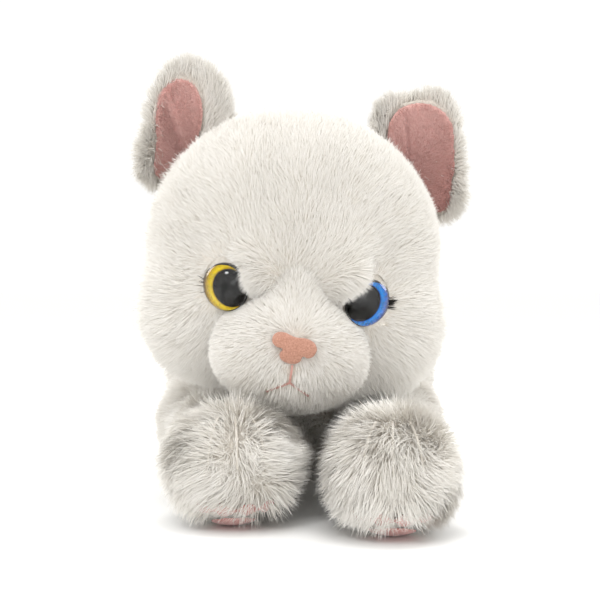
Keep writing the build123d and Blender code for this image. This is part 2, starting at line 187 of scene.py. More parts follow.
def bump(tree, shader, height, depth):
    node = tree.nodes.new("ShaderNodeBump")
    node.inputs["Distance"].default_value = depth
    node.inputs["Strength"].default_value = 1.0
    tree.links.new(height, node.inputs["Height"])
    tree.links.new(node.outputs["Normal"], shader.inputs["Normal"])


# %% [markdown]
# ## Cloth
# Backing, velour and felt are cloths of fine fibres that scatter light at their edges. A woven pattern
# would be exact, but doesn't show at this size. One noise gives the uneven shade, a finer one the bumps.


# %% Cloth finish
def fabric_finish(name, dark, light, fibre, sheen=0.3, depth=0.3 * MM):
    material, tree, shader = new_material(name, light, 0.9, sheen, 0.2)
    coloured(tree, shader, ramp(tree, noise(tree, fibre), [(0.3, dark), (0.7, light)]))
    bump(tree, shader, noise(tree, fibre * 0.6, 2.0), depth)
    return material


def srgb(red, green, blue):
    return tuple((v / 255) ** 2.2 for v in (red, green, blue))


# %% [markdown]
# ## Pile
# Pile of one flat white would look like plaster. Less light reaches a root than a tip, so the roots are
# painted darker as painted shade, and each lock has taken its own tone. The finish reads both from the map
# that each strand brings.

# %% Pile finish
# The root's colour is painted shade: darker, because less light reaches the roots
PILE_ROOT_SHADE = srgb(205, 198, 188)
PILE_MIDDLE = srgb(229, 225, 218)
PILE_TIP = srgb(241, 239, 235)


def pile_finish(name, root, middle, tip):
    """On the strands' own map, U is the lock's tone and V runs from root to tip, with painted shade at the
    root.
    """
    material, tree, shader = new_material(name, middle, 0.75, 0.15, 0.25)
    strand_map = tree.nodes.new("ShaderNodeUVMap")
    strand_map.uv_map = "OFBake"
    parts = tree.nodes.new("ShaderNodeSeparateXYZ")
    tree.links.new(strand_map.outputs["UV"], parts.inputs["Vector"])
    along = ramp(tree, parts.outputs["Y"], [(0.0, root), (0.45, middle), (1.0, tip)])
    lock = ramp(tree, parts.outputs["X"], [(0.0, (0.95, 0.945, 0.93)), (1.0, (1, 1, 1))])
    coloured(tree, shader, multiplied(tree, along, lock))
    return material


white_pile = pile_finish("white_pile", PILE_ROOT_SHADE, PILE_MIDDLE, PILE_TIP)
# The backing is coloured a little darker than the pile's tips: painted shade for cloth lying deep under the
# pile
white_backing = fabric_finish("white_backing", srgb(208, 200, 188), srgb(228, 222, 213), 1.2 * MM)
floor_finish, _, _ = new_material("floor_card", srgb(250, 250, 249), 0.8)
floor.data.materials.append(floor_finish)
print("finishes", white_pile.name, white_backing.name, floor_finish.name)

# %% [markdown]
# ## Padded skins
# The backing cloth of a plush toy is sewn, turned and stuffed, so it is a smooth closed form. The head's
# is a few balls joined by a voxel remesh: skull, cheeks, brows and chin. A sculpted head could be closer
# to the real one, but not be changed by numbers. Each skin is then blown up a little as cloth with
# pressure, as the stuffing does, and given one subdivision.


# %% Reading and writing a mesh
def evaluated(thing):
    """A mesh of the thing with its modifiers applied."""
    graph = bpy.context.evaluated_depsgraph_get()
    return bpy.data.meshes.new_from_object(thing.evaluated_get(graph))


def finish_modifiers(thing):
    mesh = evaluated(thing)
    thing.modifiers.clear()
    thing.data = mesh


def places_of(mesh):
    places = np.empty(len(mesh.vertices) * 3)
    mesh.vertices.foreach_get("co", places)
    return places.reshape(-1, 3)


def put_places(mesh, places):
    mesh.vertices.foreach_set("co", np.ascontiguousarray(places).ravel())
    mesh.update()


# %% Remesh and smooth
ALL_AXES = {f"use_axis_{axis}": True for axis in "xyz"}


def remeshed(thing, voxel):
    remesh = thing.modifiers.new("remesh", "REMESH")
    remesh.mode = "VOXEL"
    remesh.voxel_size = voxel
    finish_modifiers(thing)


def smoothed(thing, times):
    bm = bmesh.new()
    bm.from_mesh(thing.data)
    for _ in range(times):
        bmesh.ops.smooth_vert(bm, verts=bm.verts, factor=0.5, **ALL_AXES)
    bm.to_mesh(thing.data)
    bm.free()


# %% Stuff with a cloth simulation
PRESSURE = 4.0
SIM_FRAMES = 20


def stuffed(thing, most):
    """Blows the skin up as cloth, and lets no point move further than `most`."""
    start = places_of(thing.data)
    cloth = thing.modifiers.new("stuffing", "CLOTH")
    cloth.settings.use_pressure = True
    cloth.settings.uniform_pressure_force = PRESSURE
    cloth.settings.effector_weights.gravity = 0
    cloth.point_cache.frame_end = SIM_FRAMES
    for step in range(1, SIM_FRAMES + 1):
        bpy.context.scene.frame_set(step)
    finish_modifiers(thing)
    moved = places_of(thing.data) - start
    far = np.linalg.norm(moved, axis=1, keepdims=True)
    put_places(thing.data, start + moved * np.minimum(1, most / np.maximum(far, 1e-9)))
    bpy.context.scene.frame_set(1)


def rounded(thing):
    """One subdivision, so that the skin is smooth between its voxels."""
    subdivide = thing.modifiers.new("round", "SUBSURF")
    subdivide.levels = 1
    subdivide.render_levels = 1
    finish_modifiers(thing)
    thing.data.shade_smooth()


# %% Start from the frame or from balls
def merged_copy(name, node):
    bm = bmesh.new()
    bm.from_mesh(nodes[node].data)
    bmesh.ops.remove_doubles(bm, verts=bm.verts, dist=0.01 * MM)
    return new_object(name, mesh_of(bm, name))


def joined_balls(name, balls, place):
    """balls: (centre, radii) in the head's own millimetres."""
    bm = bmesh.new()
    for centre, radii in balls:
        made = bmesh.ops.create_icosphere(bm, subdivisions=4, radius=1.0)
        sized = Matrix.Translation(Vector(centre) * MM) @ Matrix.Diagonal((*(Vector(radii) * MM), 1))
        bmesh.ops.transform(bm, verts=made["verts"], matrix=place @ sized)
    return new_object(name, mesh_of(bm, name))


# %% Sew a piece on
def sewn(thing, finish, body, stands_for):
    """Gives a padded piece its finish, body and slot, and hides the nodes it stands for."""
    thing.data.materials.append(finish)
    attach(thing, body)
    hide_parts(*stands_for)
    print(thing.name, "faces", len(thing.data.polygons))
    return thing


# %% [markdown]
# ## The head
# A plush head is sewn from a few panels and stuffed, and settles a little to one side. A few numbers put
# the head in its place, so everything on it is written in the head's own millimetres: X to its left, Y to
# the back, Z up.

# %% The head's own place
HEAD_CENTRE = Vector((-2.5, -56.5, 90)) * MM
HEAD_ROLL = math.radians(6.5)
HEAD_TURN = math.radians(4)
head_place = (Matrix.Translation(HEAD_CENTRE) @ Matrix.Rotation(HEAD_ROLL, 4, "Y")
              @ Matrix.Rotation(HEAD_TURN, 4, "Z"))
to_head = np.array(head_place.inverted())
head_turned = np.array(head_place)[:3, :3]


def in_head(places):
    """World metres to the head's own millimetres."""
    return (places @ to_head[:3, :3].T + to_head[:3, 3]) / MM


def from_head(local):
    """The head's own millimetres to world metres."""
    return (local * MM) @ head_turned.T + np.array(head_place)[:3, 3]


print("head at", tuple(HEAD_CENTRE))

# %% Head skin
# Balls with their middles and radii, and hollows with middle, reach and depth
SKULL = ((0, 0, 0), (53.5, 53, 51))
CHEEKS = [((-23, -13, -23), (29.5, 32, 28)), ((27, -13, -23), (28, 32, 28))]
BROWS = [((side * 14, -45.5, -8.5), (11, 9, 9)) for side in (-1, 1)]
CHIN = ((5, -28, -42), (24, 18, 14))
HOLLOWS = [((12, -48, 19), 15, 4.2), ((-21, -47, 8), 12, 2.2), ((32, -40, 4), 11, 1.8), ((0, -52, 2), 9, 1.6)]
HEAD_VOXEL = 4 * MM
SKIN_SWELL = 1.2 * MM  # how far the stuffing may push a point of the head out


def hollowed(thing, hollows):
    """Presses shallow hollows in the skin, as uneven stuffing leaves them."""
    local = in_head(places_of(thing.data))
    for centre, reach, depth in hollows:
        far = np.linalg.norm(local - centre, axis=1, keepdims=True)
        local -= depth * np.exp(-(far / reach) ** 2) * local / np.linalg.norm(local, axis=1, keepdims=True)
    put_places(thing.data, from_head(local))


head_skin = joined_balls("head_skin", [SKULL, CHIN] + CHEEKS + BROWS, head_place)
remeshed(head_skin, HEAD_VOXEL)
smoothed(head_skin, 6)
stuffed(head_skin, SKIN_SWELL)
hollowed(head_skin, HOLLOWS)
rounded(head_skin)
sewn(head_skin, white_backing, "head",
     ["head_face_cover", "head_back_cover", "head_stuffing"])

# %% [markdown]
# The muzzle is a panel of shorter pile sewn to the face. It could be part of the head's skin, but apart it
# can be a finer form: a bridge, a middle and two soft pads beside the mouth.

# %% Muzzle skin
MUZZLE = [((0, -43, -35.5), (26.5, 20.5, 20)), ((0, -43.5, -17), (11, 12, 14)),
          ((-12, -47, -37.5), (13.5, 15, 12.5)), ((12, -47, -37.5), (13.5, 15, 12.5))]
MUZZLE_VOXEL = 2.5 * MM
MUZZLE_SWELL = 0.6 * MM
muzzle_skin = joined_balls("muzzle_skin", MUZZLE, head_place)
remeshed(muzzle_skin, MUZZLE_VOXEL)
smoothed(muzzle_skin, 5)
stuffed(muzzle_skin, MUZZLE_SWELL)
rounded(muzzle_skin)
sewn(muzzle_skin, white_backing, "head", ["muzzle_panel"])

# %% [markdown]
# ## Skins over the frame's stuffing
# The trunk, neck and tail are simple stuffed bags, so their skins are merged copies of the frame's
# stuffing that stand off it by the backing's thickness, and never go below the floor.

# %% Body, neck and tail skins
SKIN_VOXEL = 4 * MM
BACKING_OUT = 1.4 * MM
TAIL_BACKING_OUT = 0.6 * MM  # less, so that the tail can be lifted beside the rump
LOWEST_SKIN = 0.6 * MM


def normals_of(mesh):
    normals = np.empty(len(mesh.vertices) * 3)
    mesh.vertex_normals.foreach_get("vector", normals)
    return normals.reshape(-1, 3)


def skin_over(name, stuffing, body, covers, most, shaped=None, out=BACKING_OUT):
    skin = merged_copy(name, stuffing)
    remeshed(skin, SKIN_VOXEL)
    smoothed(skin, 3)
    stuffed(skin, most)
    places = places_of(skin.data) + out * normals_of(skin.data)
    if shaped:
        places = shaped(places)
    places[:, 2] = np.maximum(places[:, 2], LOWEST_SKIN)
    put_places(skin.data, places)
    rounded(skin)
    return sewn(skin, white_backing, body, [stuffing, *covers])


body_skin = skin_over("body_skin", "body_stuffing", "body", ["back_cover", "tummy_panel"], most=2 * MM)
neck_skin = skin_over("neck_skin", "neck_stuffing", "neck", ["neck_gusset"], most=1 * MM)
tail_skin = skin_over("tail_skin", "tail_stuffing", "tail", ["tail_cover"], most=1 * MM,
                      out=TAIL_BACKING_OUT)

# %% [markdown]
# ## Legs
# A leg is filled firmly at the shoulder and the paw, and loosely between them, where it sags to the floor.
# That could be simulated, but its shape is simple enough to work out: each point of the skin is pushed out
# from the leg's middle line to the radius it should have.

# %% Leg skins
SIDES = ("left", "right")
SHOULDER = np.array([35.5, -10.5, 21.5]) * MM
PAW_AT = {"left_foreleg": (28.5, -136, 19), "right_foreleg": (-22, -119, 19)}  # middles, in millimetres
PAW_SHAPE = {"left_foreleg": (1.0, 1.0), "right_foreleg": (1.16, 0.95)}  # width and height of the soft paw
PAW_REACH = 24 * MM
LEG_RADIUS = 15.0 * MM
LEG_FLAT = 2.7 * MM    # how much flatter it is on top, which leaves room for the head to turn
LEG_SAG = 3.5 * MM     # how much further the loose stuffing sinks below the leg's middle
UNDER_LEG = 1.5 * MM


def signed(side):
    return 1 if side == "left" else -1


def foreleg_shaped(leg):
    """Fills the leg out, lets it sag to the floor, and presses the paw wider."""
    middle = np.array(PAW_AT[leg]) * MM
    shoulder = SHOULDER * (signed(leg.split("_")[0]), 1, 1)
    wide, high = PAW_SHAPE[leg]
    run = middle - shoulder

    def shaped(places):
        along = ((places - shoulder) @ run / (run @ run)).clip(0, 1)[:, None]
        off = places - shoulder - along * run
        far = np.maximum(np.linalg.norm(off, axis=1, keepdims=True), 0.1 * MM)
        inside = (along > 0.02) & (along < 0.98)
        upward = off[:, 2:] / far
        radius = LEG_RADIUS + LEG_SAG * (-upward).clip(0, 1) - LEG_FLAT * upward.clip(0, 1)
        filled = places + inside * off * (np.maximum(radius / far, 1) - 1)
        filled[:, 2] = np.maximum(filled[:, 2], UNDER_LEG)
        off = filled - middle
        near = np.exp(-(np.linalg.norm(off, axis=1, keepdims=True) / PAW_REACH) ** 4)
        return filled + off * near * (wide - 1, 0, high - 1)

    return shaped


leg_skins = {}
for side in SIDES:
    for kind in ("foreleg", "hindleg"):
        leg = f"{side}_{kind}"
        shaped = foreleg_shaped(leg) if kind == "foreleg" else None
        leg_skins[leg] = skin_over(f"{leg}_skin", f"{leg}_stuffing", leg, [f"{leg}_cover"],
                                   most=1.5 * MM, shaped=shaped)

# %% [markdown]
# ## The pile
# Long-pile plush is fibres stood up in a backing and brushed. Blender's hair can't be kept as a mesh, so
# each strand is a thin tapered ribbon, rooted on the skin. It leans the way the coat was brushed, and its
# tip is gathered towards its lock's, which is what makes tufts.


# %% Directions and roots
def unit(v):
    return v / np.maximum(np.linalg.norm(v, axis=-1, keepdims=True), 1e-12)


WAVES = 6
WAVES_HEIGHT = 2.4  # of six waves added up


def swirl(places, reach, seed):
    """A direction at each place that turns over about `reach` metres, as a hand has ruffled the coat."""
    rng = np.random.default_rng(seed)
    waves = rng.normal(size=(WAVES, 3)) / reach
    phases = rng.uniform(0, 2 * math.pi, (WAVES, 3))
    return np.sin((places @ waves.T)[:, :, None] + phases).sum(1) / WAVES_HEIGHT


def roots_on(mesh, density, count, rng):
    """Random places on the mesh with their normals, more where the density is higher."""
    mesh.calc_loop_triangles()
    corners = np.empty(len(mesh.loop_triangles) * 3, int)
    mesh.loop_triangles.foreach_get("vertices", corners)
    corners = corners.reshape(-1, 3)
    places = places_of(mesh)
    normals = normals_of(mesh)
    a, b, c = (places[corners[:, k]] for k in range(3))
    area = np.linalg.norm(np.cross(b - a, c - a), axis=1) / 2
    weight = area * density((a + b + c) / 3, unit(normals[corners].sum(1)))
    face = rng.choice(len(corners), count, p=weight / weight.sum())
    share = rng.dirichlet((1, 1, 1), count)[:, :, None]
    return (places[corners[face]] * share).sum(1), unit((normals[corners[face]] * share).sum(1))


# %% [markdown]
# ## The way of a strand
# A strand starts in the backing and bends at each step towards its brushing and down. Real fibres stop at
# what they touch, so the points are kept above the floor and outside the domes of the eyes.

# %% Paths of strands
STEPS = 2
ROOT_DEPTH = 0.4 * MM     # a strand starts in the backing
STRAY = 0.08              # spread of the ways in which strands leave the skin
COMBED = 0.35             # how much a strand bends towards its brushing at each step
DROOP = (0, 0, -0.08)     # and how much it hangs
FLOOR_CLEARANCE = 0.5 * MM
EYE_PLACES = [np.array((side * 24, -47.8, -16.5)) for side in (-1, 1)]
DOME_BALL = 9.61
DOME_SUNK = 4.5  # middle of the dome's ball below the skin
DOME_GAP = 0.35


def over_domes(points):
    """Strands that meet the ball of an eye's dome are laid over it."""
    local = in_head(points.reshape(-1, 3))
    for eye in EYE_PLACES:
        off = local - (eye - DOME_SUNK * unit(eye))
        far = np.linalg.norm(off, axis=1, keepdims=True)
        local += off * (np.maximum(DOME_BALL + DOME_GAP, far) / far - 1)
    return from_head(local).reshape(points.shape)


def strand_paths(roots, normals, coat, ruffle, rng):
    """Each strand's points from root to tip. coat gives its length, lift off the skin and brushing."""
    length, lift, brushed = coat(roots, normals)
    brushed = brushed - normals * (brushed * normals).sum(1, keepdims=True)
    brushed = unit(brushed + ruffle * rng.normal(size=roots.shape))
    length = (length * rng.uniform(0.75, 1.1, len(roots)))[:, None]
    lift = np.broadcast_to(lift, len(roots))[:, None]
    heading = unit(normals * lift + brushed + STRAY * rng.normal(size=roots.shape))
    points = [roots - normals * ROOT_DEPTH]
    for _ in range(STEPS):
        points.append(points[-1] + heading * length / STEPS)
        heading = unit(heading + COMBED * brushed + DROOP)
    points = np.stack(points, 1)
    points[:, :, 2] = np.maximum(points[:, :, 2], FLOOR_CLEARANCE)
    return over_domes(points)


# %% [markdown]
# ## A strand as a ribbon
# A tube for each of half a million strands would be too much. A ribbon with one square and one triangle
# is enough at this size. Its normals lean towards the skin's, so a coat is shaded as one soft form.

# %% Ribbons
STRAND_TURN = 0.12  # spread of the ribbons' turns about themselves
TAPER = (1.0, 0.85)  # width at the root and the middle, in shares; the tip is a point
SKIN_SHADE = 0.35    # how much the skin's normal counts in a ribbon's


def ribbon_mesh(name, points, normals, shades, width, rng):
    """A tapered ribbon along each path, its face turned outwards."""
    count = len(points)
    run = unit(points[:, -1] - points[:, 0])
    across = unit(np.cross(run, normals + STRAND_TURN * rng.normal(size=normals.shape)))
    facing = np.cross(across, run)
    taper = np.array(TAPER)[None, :, None] * width / 2
    left = points[:, :STEPS] - across[:, None] * taper
    right = points[:, :STEPS] + across[:, None] * taper
    pairs = np.stack([left, right], 2).reshape(count, 2 * STEPS, 3)
    places = np.concatenate([pairs, points[:, STEPS:]], 1)
    per = 2 * STEPS + 1
    one = np.array([0, 1, 3, 2, 2, 3, 4])  # a square, and a triangle at the tip
    corners = (np.arange(count)[:, None] * per + one).ravel()
    sizes = np.tile([4, 3], count)
    mesh = bpy.data.meshes.new(name)
    mesh.vertices.add(count * per)
    mesh.loops.add(len(corners))
    mesh.polygons.add(len(sizes))
    mesh.vertices.foreach_set("co", places.ravel())
    mesh.loops.foreach_set("vertex_index", corners)
    mesh.polygons.foreach_set("loop_start", np.concatenate([[0], np.cumsum(sizes)[:-1]]))
    along = np.array([0, 0, 1 / 2, 1 / 2, 1.0])
    aside = np.array([0, 1, 0, 1, 0.5])
    strand_map = mesh.uv_layers.new(name="OFBake")
    u = shades[:, None] * 0.94 + 0.01 + 0.04 * aside
    v = np.broadcast_to(0.02 + 0.96 * along, (count, per))
    uv = np.stack([u, v], 2).reshape(-1, 2)[corners]
    strand_map.data.foreach_set("uv", uv.ravel())
    mesh.update(calc_edges=True)
    mesh.validate()
    soft = unit(SKIN_SHADE * normals + facing)
    mesh.normals_split_custom_set_from_vertices(np.repeat(soft, per, 0))
    return mesh


# %% [markdown]
# ## Growing a coat
# A coat says for each place how long a strand is, how far it lifts off the skin and which way it was
# brushed. `density` says where there are more, and `bare` where there are none.


# %% Growing a pile
LOCK_CURVE = 1.3  # a lock closes towards its tips


def everywhere(places, normals):
    return np.ones(len(places))


def tree_of(places):
    """A search tree over places."""
    tree = kdtree.KDTree(len(places))
    for number, place in enumerate(places):
        tree.insert(place, number)
    tree.balance()
    return tree


def grow_pile(name, skin, body, coat, count, seed, density=everywhere, lock=4.5 * MM, gather=0.4,
              width=0.26 * MM, ruffle=0.32, bare=None, finish=None):
    rng = np.random.default_rng(seed)
    roots, normals = roots_on(skin.data, density, count, rng)
    points = strand_paths(roots, normals, coat, ruffle, rng)
    if bare:
        kept = ~bare(points)
        roots, normals, points = roots[kept], normals[kept], points[kept]
        count = len(roots)
    area = sum(p.area for p in skin.data.polygons)
    leaders = rng.choice(count, min(count // 6, int(area / lock ** 2) + 1), replace=False)
    tree = tree_of(roots[leaders])
    own = np.array([tree.find(place)[1] for place in roots])
    pull = gather * (np.arange(STEPS + 1) / STEPS) ** LOCK_CURVE
    pull = pull[None, :, None] * rng.uniform(0.5, 1.0, count)[:, None, None]
    points += (points[leaders][own] - points) * pull
    shades = (rng.uniform(0, 1, len(leaders))[own] + 0.3 * rng.uniform(-1, 1, count)).clip(0, 1)
    pile = new_object(name, ribbon_mesh(name, points, normals, shades, width, rng))
    pile.data.materials.append(finish or white_pile)
    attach(pile, body)
    print(name, "strands", count, "leaders", len(leaders))


def near_mesh(mesh):
    """A function for the distance of places to a mesh."""
    tree = tree_of(places_of(mesh))
    return lambda places: np.array([tree.find(place)[2] for place in places])


# %% [markdown]
# ## The head's coat
# The pile of the face is brushed away from the nose, and trimmed short round the eyes. Above each eye it
# is left long and hangs over the inner side of the dome, which gives the cat its look.

# %% Places round the eyes
NOSE_PLACE = np.array([0, -64.0, -29.5])
BROW_EDGES = np.array([4.6, 4.9])  # where each brow's tips end, from the eye's middle
INNER_UP = (-0.76, 0.65)  # X and Z of the way to an eye's inner upper side
EYES_END = -25            # nothing further back than this belongs to the eyes


def step_between(low, high, value):
    x = ((value - low) / (high - low)).clip(0, 1)
    return x * x * (3 - 2 * x)


def eye_offsets(local):
    """Distance from the nearer eye's middle, and how far towards its inner upper side."""
    mine = (local[:, 0] > 0).astype(int)
    eyes = np.array(EYE_PLACES)[mine]
    outward = unit(eyes)
    off = local - eyes
    off = off - outward * (off * outward).sum(1, keepdims=True)
    inner_up = np.stack([INNER_UP[0] * np.sign(eyes[:, 0]), 0 * eyes[:, 0], INNER_UP[1] + 0 * eyes[:, 0]], 1)
    return np.linalg.norm(off, axis=1), (off * inner_up).sum(1), off, inner_up


def brow_edge(local):
    return BROW_EDGES[(local[:, 0] > 0).astype(int)]


# %% Head coat
FACE_LENGTH = 5.2
CHEEK_MORE = 4.0   # longer at the sides of the jaw
LONGEST_BROW = 8
TRIMMED = (9, 19)  # fully and no longer trimmed, from an eye's middle
TRIM = 1.2
SIDES_OF_HEAD = (-20, 20)  # from the face's brushing to the back's
DOWN_THE_BACK = np.array([0.0, 0.6, -0.8])
BROW_LENGTH = (1.4, 1.25)  # least, and more for each millimetre above the brow's edge
FACE_LIFT = 0.46


def head_coat(places, normals):
    local = in_head(places)
    from_eye, towards_brow, off_eye, inner_up = eye_offsets(local)
    from_eye = from_eye + 40 * (local[:, 1] > EYES_END)
    behind = step_between(*SIDES_OF_HEAD, local[:, 1])[:, None]
    brushed = (1 - behind) * unit(local - NOSE_PLACE) + behind * DOWN_THE_BACK
    low = step_between(0, 40, -local[:, 2])
    brushed = brushed + low[:, None] * np.array([0, 0, -0.5])
    close = (1 - step_between(*TRIMMED, from_eye))[:, None]
    ragged = swirl(places, 2.5 * MM, 6)[:, 0]
    brow = step_between(0.1, 0.9, towards_brow / from_eye + 0.2 * ragged)[:, None]
    brushed = brushed * (1 - 0.8 * close) + close * ((1 - brow) * unit(off_eye) - 1.1 * brow * inner_up)
    brushed = brushed @ head_turned.T + 0.25 * swirl(places, 12 * MM, 3) + 0.16 * swirl(places, 3.5 * MM, 4)
    least, more = BROW_LENGTH
    over = least + more * (towards_brow - brow_edge(local) + 0.6 * ragged).clip(0, LONGEST_BROW)
    length = FACE_LENGTH + CHEEK_MORE * low * step_between(10, 40, np.abs(local[:, 0])) - TRIM * close[:, 0]
    hanging = (close * brow)[:, 0]
    length = length * (1 - hanging) + over * hanging
    high = step_between(12, 42, local[:, 2])
    lift = FACE_LIFT - 0.06 * behind[:, 0] - 0.12 * high - 0.24 * close[:, 0] * (1 - brow[:, 0])
    return length * MM, lift, brushed


# %% Where the head's pile is bare or thick
DOME_EDGES = (8.3, 8.0)  # no root and no tip of the face is nearer to an eye's middle
BROW_ROOTS = 5.5         # except the brow's, which start this far to the inner upper side
BROW_SLACK = 1.4
UNDER_EYE = 7.5
UNDER_MUZZLE = ((0, -45, -34), (22, 18, 16))  # middle and radii of what the muzzle covers
BROW_DENSER = 3.0
FRONT_DENSER = 0.7


def over_eye(points):
    """Strands that would cross an eye's dome, except the brow's, which hang over it."""
    root, tip = in_head(points[:, 0]), in_head(points[:, -1])
    root_far, root_brow, _, _ = eye_offsets(root)
    tip_far, tip_brow, _, _ = eye_offsets(tip)
    on_face = root[:, 1] < EYES_END
    from_brow = (root_brow > BROW_ROOTS) & (tip_brow > brow_edge(root) - BROW_SLACK)
    return on_face & ((root_far < DOME_EDGES[0]) | ((tip_far < DOME_EDGES[1]) & ~from_brow))


def head_density(places, normals):
    local = in_head(places)
    from_eye, towards_brow, _, _ = eye_offsets(local)
    on_face = local[:, 1] < EYES_END
    brow = on_face * (1 - step_between(9, 15, from_eye)) * step_between(3, 8, towards_brow)
    under_eye = on_face & (from_eye < UNDER_EYE)
    middle, radii = UNDER_MUZZLE
    under_muzzle = np.linalg.norm((local - middle) / radii, axis=1) < 1
    return 0.002 + ~under_eye * ~under_muzzle * (1 + FRONT_DENSER * (local[:, 1] < -10) + BROW_DENSER * brow)


# %% Face and crown piles
FACE_END = -6  # where the face's pile meets the crown's


def face_density(way):
    """The density of one half of the face."""
    def density(places, normals):
        local = in_head(places)
        return head_density(places, normals) * (local[:, 1] < FACE_END) * (local[:, 0] * way >= 0)

    return density


def crown_density(places, normals):
    return head_density(places, normals) * (in_head(places)[:, 1] >= FACE_END)


for side in SIDES:
    grow_pile(f"{side}_face_pile", head_skin, "head", head_coat, 58000, 11, face_density(signed(side)),
              lock=3.2 * MM, gather=0.14, width=0.2 * MM, ruffle=0.18, bare=over_eye)
grow_pile("crown_pile", head_skin, "head", head_coat, 44000, 12, crown_density, lock=4 * MM, gather=0.18)

# %% [markdown]
# ## The muzzle's coat
# Here the pile is short and even. It stops at the nose's seam and at the thread of the mouth, because the
# stitches pull it down.


# %% Muzzle coat
MUZZLE_LENGTH = 4.2 * MM
NOSE_GAP = 1.6 * MM
MOUTH_GAPS = (0.9 * MM, 0.8 * MM)  # for a strand's middle and its tip
MUZZLE_END = -36
NOSE_BOX = ((0, -65, -33.5), (6.3, 6, 4.2))  # middle and half sizes of a box free of tips


def muzzle_coat(places, normals):
    local = in_head(places)
    brushed = unit(local - NOSE_PLACE) @ head_turned.T + 0.15 * swirl(places, 10 * MM, 5)
    return MUZZLE_LENGTH, 0.5, brushed


def muzzle_density(places, normals):
    return 0.001 + (in_head(places)[:, 1] < MUZZLE_END)


to_nose = near_mesh(nodes["nose_patch"].data)
to_mouth = near_mesh(nodes["mouth_stitches"].data)


def off_muzzle(points):
    local = in_head(points[:, -1])
    middle, halves = NOSE_BOX
    on_nose = (to_nose(points[:, 0]) < NOSE_GAP) | (np.abs(local - middle) < halves).all(1)
    on_mouth = (to_mouth(points[:, 1]) < MOUTH_GAPS[0]) | (to_mouth(points[:, 2]) < MOUTH_GAPS[1])
    return on_nose | on_mouth | over_eye(points)


grow_pile("muzzle_pile", muzzle_skin, "head", muzzle_coat, 42000, 13, muzzle_density, lock=3 * MM,
          gather=0.2, width=0.23 * MM, ruffle=0.18, bare=off_muzzle)

# %% [markdown]
# ## The body's coat
# The longest pile, brushed back and down and ruffled by handling. Over the neck it falls forwards, which
# hides the seam. There is none underneath, where it would be pressed flat.

# %% Body and neck coats
FRONT_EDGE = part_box("body_stuffing")[0][1]
BACK_FROM = 0.03  # metres; the body's pile is kept in a front and a back half
BODY_LENGTH = 10
BODY_LIFT = 0.5
ALONG_BACK = np.array([0, 0.6, -0.55])
DOWN_THE_NECK = np.array([0, -0.7, -0.6])


def body_coat(places, normals):
    over_neck = (1 - step_between(FRONT_EDGE - 12 * MM, FRONT_EDGE + 22 * MM, places[:, 1]))[:, None]
    brushed = (1 - over_neck) * ALONG_BACK + over_neck * DOWN_THE_NECK
    brushed = brushed + 0.4 * swirl(places, 16 * MM, 7) + 0.25 * swirl(places, 5 * MM, 9)
    length = BODY_LENGTH + 1.2 * swirl(places, 30 * MM, 8)[:, 0]
    return length * MM, BODY_LIFT, brushed


def off_floor(places, normals):
    return 0.001 + step_between(-0.9, -0.4, normals[:, 2])


def front_density(places, normals):
    return off_floor(places, normals) * (places[:, 1] < BACK_FROM)


def back_density(places, normals):
    return off_floor(places, normals) * (places[:, 1] >= BACK_FROM)


grow_pile("front_pile", body_skin, "body", body_coat, 42000, 21, front_density)
grow_pile("back_pile", body_skin, "body", body_coat, 46000, 22, back_density)
grow_pile("neck_pile", neck_skin, "neck", body_coat, 12000, 23)

# %% [markdown]
# ## The legs' coats
# A leg is brushed along its length. On the paw the pile is longer and falls to the floor on both sides, so
# that the paw looks round and soft.


# %% Leg coats
LEG_LENGTH = 8.5
PAW_MORE = 1.5
PAW_FROM = (-26 * MM, -4 * MM)  # along the leg, from the paw's middle
SHOULDER_TO = (0.1, 0.6)        # shares of the leg's length
LEG_LIFT = 0.6
PAW_LIFT_MORE = 0.15
HIND_LENGTH = 9 * MM
HIND_LIFT = 0.55


def foreleg_coat(leg):
    paw = np.array(PAW_AT[leg]) * MM
    side = signed(leg.split("_")[0])
    shoulder = SHOULDER * (side, 1, 1)
    run = paw - shoulder
    axis = unit(run)

    def coat(places, normals):
        on_paw = step_between(*PAW_FROM, (places - paw) @ axis)
        spread = np.zeros_like(places)
        spread[:, 0] = 0.5 * (places[:, 0] - paw[0]) / (20 * MM)
        falling = 0.25 * axis + (0, 0, -0.9) + spread
        along = (places - shoulder) @ run / np.linalg.norm(run) ** 2
        on_shoulder = (1 - step_between(*SHOULDER_TO, along))[:, None]
        brushed = (1 - on_paw)[:, None] * (axis + (0, 0, -0.5)) + on_paw[:, None] * falling
        brushed = brushed * (1 - on_shoulder) + on_shoulder * np.array([0.3 * side, 0.6, -0.6])
        brushed = brushed + (0.7 - 0.45 * on_shoulder) * swirl(places, 10 * MM, 31 + side)
        return (LEG_LENGTH + PAW_MORE * on_paw) * MM, LEG_LIFT + PAW_LIFT_MORE * on_paw, brushed

    return coat


def hindleg_coat(places, normals):
    brushed = np.array([0, 0.8, -0.5]) + 0.5 * swirl(places, 12 * MM, 41) + 0.25 * swirl(places, 4 * MM, 42)
    return HIND_LENGTH, HIND_LIFT, brushed


for side in SIDES:
    fore, hind = f"{side}_foreleg", f"{side}_hindleg"
    grow_pile(f"{fore}_pile", leg_skins[fore], fore, foreleg_coat(fore), 62000, 31, off_floor, lock=5 * MM,
              gather=0.42, width=0.22 * MM)
    grow_pile(f"{hind}_pile", leg_skins[hind], hind, hindleg_coat, 30000, 41, off_floor, width=0.28 * MM)

# %% [markdown]
# ## The tail's coat
# The tail leaves the rump straight back and then curls round a point on its left, so its pile is brushed
# back first and then round that point.

# %% Tail coat
CURL_MIDDLE = (0.03, 0.125)  # X and Y in metres
CURL_FROM = 0.12
TAIL_LENGTH = 8.5 * MM
TAIL_LIFT = 0.5


